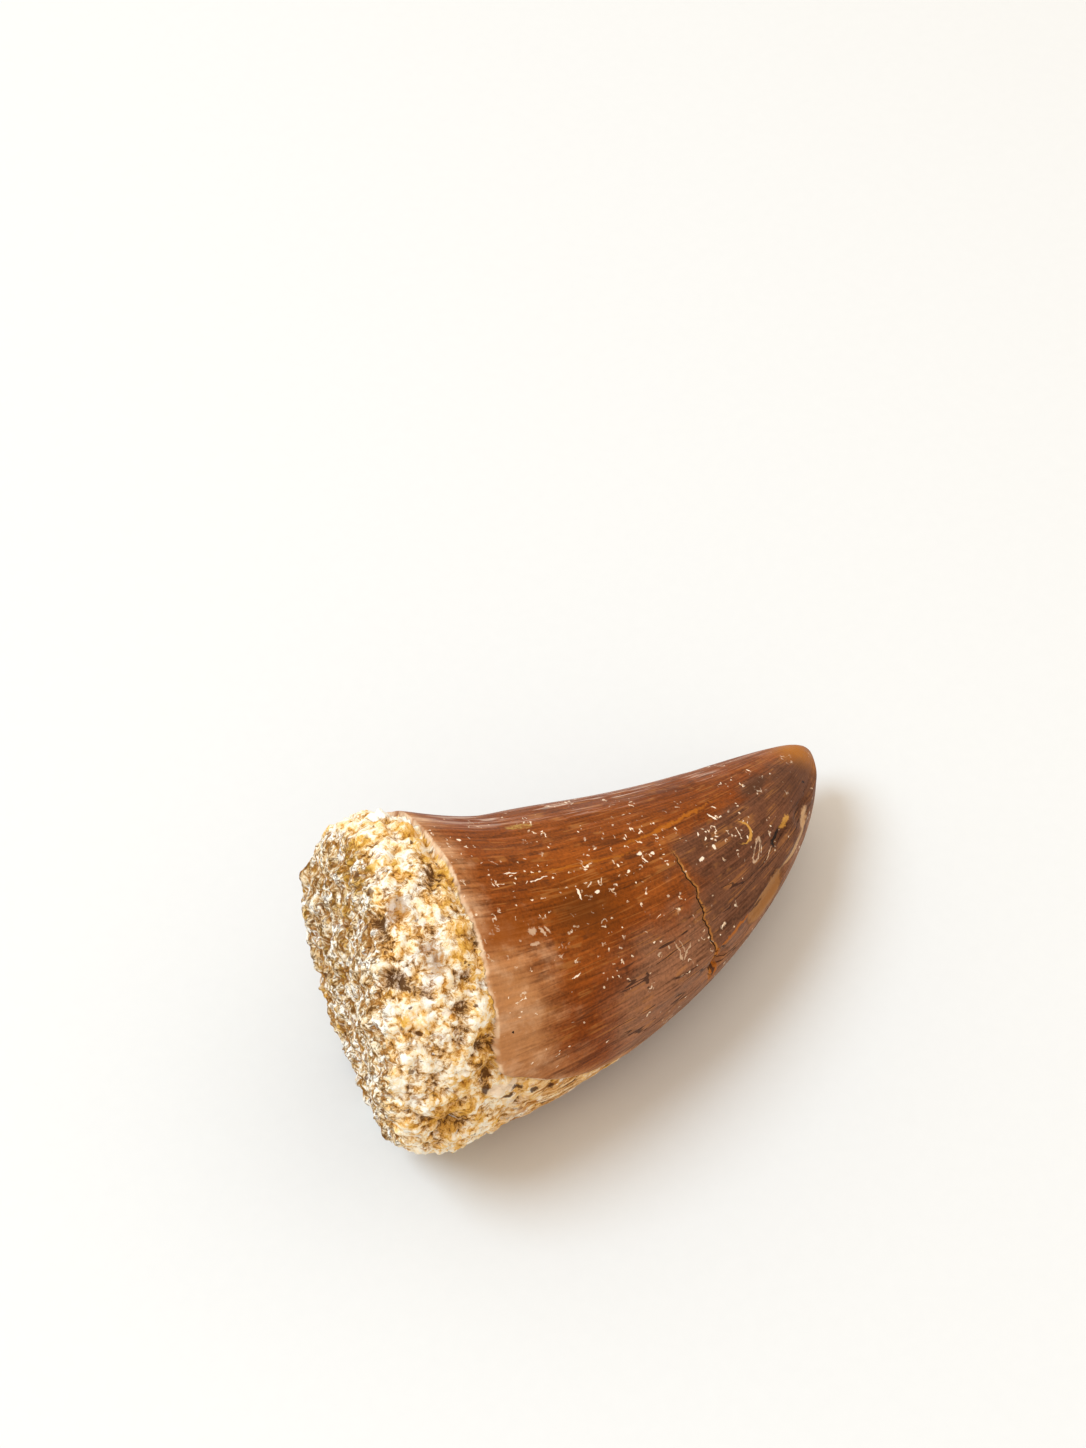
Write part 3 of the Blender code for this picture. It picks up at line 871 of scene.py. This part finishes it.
def crown_paint(paint, straight, fibre):
    """Base colour, roughness and height of the enamel."""
    pale_and_sheen_tone, amber_tone, dusk_tone = paint.parts(paint.attribute("tone"))
    sheen_share, flecked, worn_tone = paint.parts(paint.attribute("state"))
    wobble = paint.noise(straight, 0.45, 4.0, 0.6)
    soft = paint.noise(straight, 0.16, 3.0, 0.55)
    broad = paint.noise(paint.stretch(fibre, BROAD_FIBRES), 1.0, 2.0, 0.5)
    fine = paint.noise(paint.stretch(fibre, FINE_FIBRES), 1.0, 2.0, 0.6)
    grain = paint.noise(straight, 5.0, 2.0, 0.6)

    # Broad zones with uneven edges
    colour = paint.mix(paint.span(soft, 0.35, 0.65), *ENAMEL)
    dusk = paint.span(paint.sway(dusk_tone, wobble, 0.9), 0.15, 0.85)
    colour = paint.over(colour, DUSK, dusk)
    amber = paint.span(paint.sway(amber_tone, wobble, 0.8), 0.15, 0.8)
    colour = paint.over(colour, RED_AMBER, paint.times(amber, 0.90))
    deep = paint.span(paint.sway(paint.attribute("deep", "Fac"), wobble, 1.6), 0.10, 0.80)
    colour = paint.over(colour, DEEP_BROWN, paint.times(deep, 0.90))
    # Paler enamel by the margin: partly its own tone, partly painted sheen with pale patches of painted
    # highlight
    pale_and_sheen = paint.sway(paint.sway(paint.sway(pale_and_sheen_tone, wobble, 0.9), fine, 0.3), broad, 0.3)
    pale_and_sheen = paint.span(pale_and_sheen, 0.12, 0.85)
    colour = paint.over(colour, paint.mix(paint.span(wobble, 0.44, 0.66), *PALE_ENAMEL_AND_SHEEN), pale_and_sheen)

    # Fibres and grain, weaker where the enamel is paler with painted sheen
    firm = paint.math("SUBTRACT", 1.0, paint.times(pale_and_sheen, 0.65))
    shade = paint.sway(paint.sway(paint.sway(1.0, broad, 0.8), fine, 1.5), grain, 1.2)
    shade = paint.mix(firm, (1.0, 1.0, 1.0), shade)
    colour = paint.mix(1.0, colour, shade, "MULTIPLY")

    # Pale and dark threads, wrinkles, and pale streaks of painted sheen along the top
    breaks = paint.noise(straight, 0.55, 2.0, 0.6)
    pale_threads = lines(paint, paint.stretch(fibre, PALE_THREADS, (3.0, 3.0, 3.0)), 0.040)
    pale_threads = paint.times(pale_threads, paint.span(breaks, 0.46, 0.60), firm)
    colour = paint.over(colour, PALE_THREAD, paint.times(pale_threads, 0.40))
    dark_threads = lines(paint, paint.stretch(fibre, DARK_THREADS), 0.026)
    dark_threads = paint.times(dark_threads, paint.span(breaks, 0.52, 0.40), firm)
    colour = paint.over(colour, DARK_THREAD, paint.times(dark_threads, 0.55))
    wrinkles = lines(paint, paint.stretch(fibre, WRINKLES, (2.0, 2.0, 2.0)), 0.012, 3.0)
    wrinkles = paint.times(wrinkles, paint.span(breaks, 0.44, 0.52), paint.span(dusk_tone, 0.1, 0.6))
    colour = paint.over(colour, WRINKLE, paint.times(wrinkles, 0.85))
    # painted sheen: pale streaks where light would glance off the top of the crown
    sheen_streaks = paint.times(paint.span(fine, 0.50, 0.60), paint.span(broad, 0.45, 0.60), sheen_share)
    colour = paint.over(colour, PAINTED_SHEEN, paint.times(sheen_streaks, 0.9))

    # The worn strip beside the front edge
    worn = paint.span(paint.sway(worn_tone, wobble, 1.2), 0.35, 0.60)
    colour = paint.over(colour, WORN, paint.times(worn, paint.span(fine, 0.30, 0.55, 0.45, 0.90)))

    # Small flecks: spots and short curls, in crowds
    warp = paint.noise(straight, 1.6, 2.0, 0.5, output="Color")
    crooked = paint.stretch(warp, (0.6, 0.6, 0.6), straight)
    crowd = paint.math("MULTIPLY_ADD", flecked, 0.22, paint.noise(straight, 0.40, 2.0, 0.5))
    spots = paint.times(dots(paint, crooked, 1.6, 0.20, 0.4), paint.span(crowd, 0.46, 0.58))
    curls = lines(paint, paint.stretch(crooked, (1.6, 1.6, 1.6)), 0.048, 1.0)
    bits = paint.noise(paint.stretch(straight, (1.5, 1.5, 1.5), (7.0, 7.0, 7.0)), 1.0, 1.0, 0.5)
    curls = paint.times(curls, paint.span(bits, 0.60, 0.64), paint.span(crowd, 0.54, 0.64))
    fleck = paint.mix(paint.span(grain, 0.36, 0.56), *FLECK)
    colour = paint.over(colour, fleck, paint.math("MAXIMUM", spots, curls))

    height = paint.math("SUBTRACT", paint.times(fine, 0.8), wrinkles)
    roughness = paint.span(wobble, 0.3, 0.7, 0.36, 0.48)
    roughness = paint.math("MULTIPLY_ADD", pale_and_sheen, 0.12, roughness)
    return colour, roughness, height


def stained(paint, colour, near, ragged, stains):
    """colour with these stains over it, their edges wandering with the noise called ragged."""
    for layer, strength, soft, *place in stains:
        half_length, half_width = place[2:4]
        wander = min(RAGGEDNESS / min(half_length, half_width), 2.4)
        distance = paint.math("MULTIPLY_ADD", ragged, wander, paint.mark(near, *place))
        share = paint.times(paint.span(distance, 1.0 + soft, 1.0 - soft), strength)
        colour = paint.over(colour, layer, share)
    return colour


def crown_marks(paint, colour, straight):
    """The single marks of this crown: stains, worn patches, a slit, flecks and the transverse crack."""
    warp = paint.noise(straight, 1.1, 3.0, 0.6, output="Color")
    centred = paint.stretch(straight, (1.0, 1.0, 1.0), (-0.35, -0.35, -0.35))
    near = paint.stretch(warp, (0.7, 0.7, 0.7), centred)
    ragged = fray(paint, straight)
    colour = stained(paint, colour, near, ragged, STAINS)
    for place in FLECKS:
        distance = paint.math("MULTIPLY_ADD", ragged, 1.2, paint.mark(near, *place))
        colour = paint.over(colour, WHITE, paint.span(distance, 1.2, 0.8))

    # A squiggly smudge, a ring with a bite out of it, and the outline of a leaf
    squiggles = lines(paint, paint.stretch(near, (2.0, 2.0, 2.0)), 0.12, 1.0)
    squiggles = paint.span(squiggles, 0.0, 1.0, 0.3, 1.0)
    smudge = paint.span(paint.mark(near, *SMUDGE_PLACE), 1.25, 0.85)
    colour = paint.over(colour, SMUDGE, paint.times(smudge, squiggles, 0.8))
    disc = paint.span(paint.mark(near, *RING_PLACE), 1.1, 0.95)
    bite = paint.span(paint.mark(near, *RING_BITE), 1.0, 1.15)
    colour = paint.over(colour, GOLD, paint.times(disc, bite))
    leaf = paint.math("ABSOLUTE", paint.math("SUBTRACT", paint.mark(near, *LEAF_PLACE), 1.0))
    leaf = paint.times(paint.span(leaf, 0.30, 0.10), paint.span(ragged, -0.25, 0.05), 0.8)
    colour = paint.over(colour, HAZE, leaf)

    # The crack: a dark line with rusty, broken edges
    away, reach, _ = paint.parts(paint.attribute("crack"))
    apart = paint.math("ABSOLUTE", away)
    edge = paint.times(paint.span(apart, 0.20, 0.10), reach, paint.span(ragged, -0.16, 0.04))
    line = paint.times(paint.span(apart, 0.10, 0.03), reach)
    colour = paint.over(colour, CRACK_EDGE, edge)
    return paint.over(colour, CRACK_LINE, line)


def root_paint(paint, straight, fibre):
    """Base colour, roughness and height of the root's crust."""
    broken, ochre, smoky = paint.parts(paint.attribute("root"))
    hollow, dentine_share, _ = paint.parts(paint.attribute("crust"))
    warp = paint.noise(straight, 1.3, 3.0, 0.6, output="Color")
    bent = paint.stretch(warp, (0.9, 0.9, 0.9), straight)
    blotch = paint.sway(0.575, paint.noise(bent, 0.85, 5.0, 0.65), 1.35)
    grit = paint.noise(bent, 2.6, 4.0, 0.72)
    veins = paint.noise(paint.stretch(bent, (1.0, 1.0, 1.0), (5.0, 9.0, 2.0)), 1.1, 4.0, 0.65)
    zones = paint.math("SUBTRACT", paint.noise(straight, 0.45, 3.0, 0.6), 0.5)
    golden = paint.span(paint.math("MULTIPLY_ADD", ochre, 0.19, veins), 0.54, 0.68)

    # How light each place is, lowered in the hollows as painted shade, and from that its colour: cream
    # outside, greyer on the broken end, partly its own grey and partly painted shade
    tone_and_hollow_shade = paint.sway(blotch, grit, 1.0)
    # the hollow term is painted shade; the others are the crust's own blotches and veins
    for field, amount in ((hollow, -0.20), (golden, -0.13), (zones, 0.35)):
        tone_and_hollow_shade = paint.math("MULTIPLY_ADD", field, amount, tone_and_hollow_shade)
    # the broken end darker: partly its own grey, partly painted shade
    greyed_and_shaded = paint.span(paint.math("MULTIPLY_ADD", zones, 2.4, broken), 0.45, 0.90)
    colour = paint.over(paint.ramp(tone_and_hollow_shade, *CREAM), paint.ramp(tone_and_hollow_shade, *GREY_AND_SHADE), greyed_and_shaded)
    golden = paint.times(golden, paint.span(blotch, 0.75, 0.45), 0.65)
    colour = paint.over(colour, OCHRE, golden)

    # Dark seams between the grains, most on the broken end
    seams = lines(paint, paint.stretch(bent, (2.2, 2.2, 2.2)), 0.09)
    seams = paint.times(seams, paint.span(grit, 0.64, 0.46), paint.span(broken, 0.2, 0.8, 0.05, 0.85))
    colour = paint.over(colour, SEAM, seams)

    # Streaked dentine up the tongue, and smoky patches
    streak = paint.noise(paint.stretch(fibre, STREAKS), 1.0, 3.0, 0.6)
    dentine_share = paint.times(dentine_share, paint.span(veins, 0.62, 0.46))
    colour = paint.over(colour, paint.ramp(streak, *DENTINE), dentine_share)
    smoke = paint.math("MULTIPLY_ADD", zones, 2.0, paint.sway(smoky, grit, -1.6))
    smoke = paint.times(paint.span(smoke, 0.40, 0.95), 0.85)
    colour = paint.mix(smoke, colour, paint.mix(1.0, colour, SMOKE, "MULTIPLY"))

    # Darkened hollows, partly the crust's own rust and umber and partly painted shade; dark specks and
    # white flakes
    stain_and_shade = paint.sway(hollow, grit, -1.8)
    colour = paint.over(colour, RUST_AND_SHADE, paint.times(paint.span(stain_and_shade, 0.55, 0.75), 0.60))
    colour = paint.over(colour, UMBER_AND_SHADE, paint.times(paint.span(stain_and_shade, 0.76, 0.96), 0.92))
    specks = paint.times(dots(paint, bent, 1.2, 0.30, 0.42), paint.span(zones, -0.12, 0.02))
    colour = paint.over(colour, SPECK, paint.times(specks, 0.85))
    flakes = dots(paint, paint.stretch(bent, (1.0, 1.0, 1.0), (3.0, 8.0, 1.0)), 1.1, 0.40, 0.32)
    flakes = paint.times(flakes, paint.span(broken, 0.2, 0.8, 0.60, 0.20))
    colour = paint.over(colour, FLAKE, flakes)
    colour = stained(paint, colour, straight, fray(paint, straight), ROOT_STAINS)
    return colour, 0.85, paint.times(grit, 2.2)


def tooth_material():
    paint = Paint("fossil enamel and dentine")
    straight = paint.attribute("straight")
    fibre = paint.attribute("fibre")
    crown, crown_rough, crown_height = crown_paint(paint, straight, fibre)
    crown = crown_marks(paint, crown, straight)
    root, root_rough, root_height = root_paint(paint, straight, fibre)

    # Enamel past the margin, with a pale lip along it
    past = paint.math("MULTIPLY_ADD", paint.noise(straight, 2.2, 2.0, 0.6), 0.36, -0.18)
    past = paint.math("ADD", paint.attribute("past", "Fac"), past)
    enamelled = paint.span(past, -0.05, 0.05)
    lip_breaks = paint.span(paint.noise(straight, 0.8, 2.0, 0.5), 0.35, 0.6)
    lip = paint.times(paint.span(past, 0.26, 0.08), lip_breaks)
    crown = paint.over(crown, LIP, paint.times(lip, 0.75))

    bump = paint.nodes.new("ShaderNodeBump")
    bump.inputs["Strength"].default_value = 1.0
    bump.inputs["Distance"].default_value = BUMP_HEIGHT
    height = paint.blend(enamelled, paint.times(root_height, 2.2), paint.times(crown_height, 0.45))
    paint.plug(bump.inputs["Height"], height)

    shader = paint.shader
    paint.plug(shader.inputs["Base Color"], paint.over(root, crown, enamelled))
    paint.plug(shader.inputs["Roughness"], paint.blend(enamelled, root_rough, crown_rough))
    shader.inputs["Specular IOR Level"].default_value = SHINE
    paint.plug(shader.inputs["Normal"], bump.outputs[0])
    return paint.material


def floor_material():
    paint = Paint("pale card")
    grain = paint.noise(paint.nodes.new("ShaderNodeTexCoord").outputs["Object"], 900.0, 3.0, 0.6)
    paint.plug(paint.shader.inputs["Base Color"], paint.mix(grain, *CARD))
    paint.plug(paint.shader.inputs["Roughness"], 0.8)
    return paint.material


# Making the scene


def make_tooth():
    shape = ToothMesh()
    mesh = bpy.data.meshes.new("fossil_tooth")
    mesh.from_pydata(laid_down(shape.points).tolist(), [], shape.faces)
    add_paint_attributes(mesh, shape.paint)
    flat_map = mesh.uv_layers.new(name="OFBake")
    corners = [place for face in shape.places for place in face]
    flat_map.data.foreach_set("uv", np.array(corners, dtype=np.float32).ravel())
    facing = bmesh.new()
    facing.from_mesh(mesh)
    bmesh.ops.recalc_face_normals(facing, faces=facing.faces)
    facing.to_mesh(mesh)
    facing.free()
    mesh.shade_smooth()
    mesh.materials.append(tooth_material())
    tooth = bpy.data.objects.new("fossil_tooth", mesh)
    bpy.context.scene.collection.objects.link(tooth)
    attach(tooth, "root")
    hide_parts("tooth")


def make_floor():
    bpy.ops.mesh.primitive_circle_add(vertices=96, radius=FLOOR_RADIUS, fill_type="NGON")
    floor = bpy.context.object
    floor.name = "floor"
    floor.data.materials.append(floor_material())


def make_light(name, azimuth, elevation, distance, size, power, colour):
    level, height = math.radians(azimuth), math.radians(elevation)
    place = distance * Vector((
        math.cos(height) * math.cos(level),
        math.cos(height) * math.sin(level),
        math.sin(height),
    ))
    light = bpy.data.lights.new(name, "AREA")
    light.shape = "DISK"
    light.size = size
    light.energy = power
    light.color = colour
    lamp = bpy.data.objects.new(name, light)
    lamp.location = place
    lamp.rotation_euler = (-place).to_track_quat("-Z", "Y").to_euler()
    bpy.context.scene.collection.objects.link(lamp)


def make_sky():
    world = bpy.data.worlds.new("sky")
    world.use_nodes = True
    sky = world.node_tree.nodes["Background"]
    sky.inputs["Color"].default_value = (*SKY_COLOUR, 1.0)
    sky.inputs["Strength"].default_value = SKY_STRENGTH
    bpy.context.scene.world = world


def make_camera():
    lens = bpy.data.cameras.new("camera")
    lens.lens = CAMERA_LENS
    lens.sensor_width = CAMERA_SENSOR
    camera = bpy.data.objects.new("camera", lens)
    camera.location = CAMERA_PLACE
    camera.rotation_euler = (CAMERA_TILT, 0.0, CAMERA_TURN)
    bpy.context.scene.collection.objects.link(camera)
    bpy.context.scene.camera = camera


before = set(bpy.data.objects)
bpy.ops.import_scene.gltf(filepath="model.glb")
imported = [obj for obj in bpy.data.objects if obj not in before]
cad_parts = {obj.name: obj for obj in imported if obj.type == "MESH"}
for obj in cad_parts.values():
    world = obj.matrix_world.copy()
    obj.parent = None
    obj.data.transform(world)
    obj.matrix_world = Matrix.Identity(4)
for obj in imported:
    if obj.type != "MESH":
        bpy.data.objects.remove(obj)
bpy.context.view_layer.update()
make_camera()
make_floor()
make_light("key", *KEY_LIGHT)
make_sky()
make_tooth()
bpy.context.scene.view_settings.view_transform = "Standard"
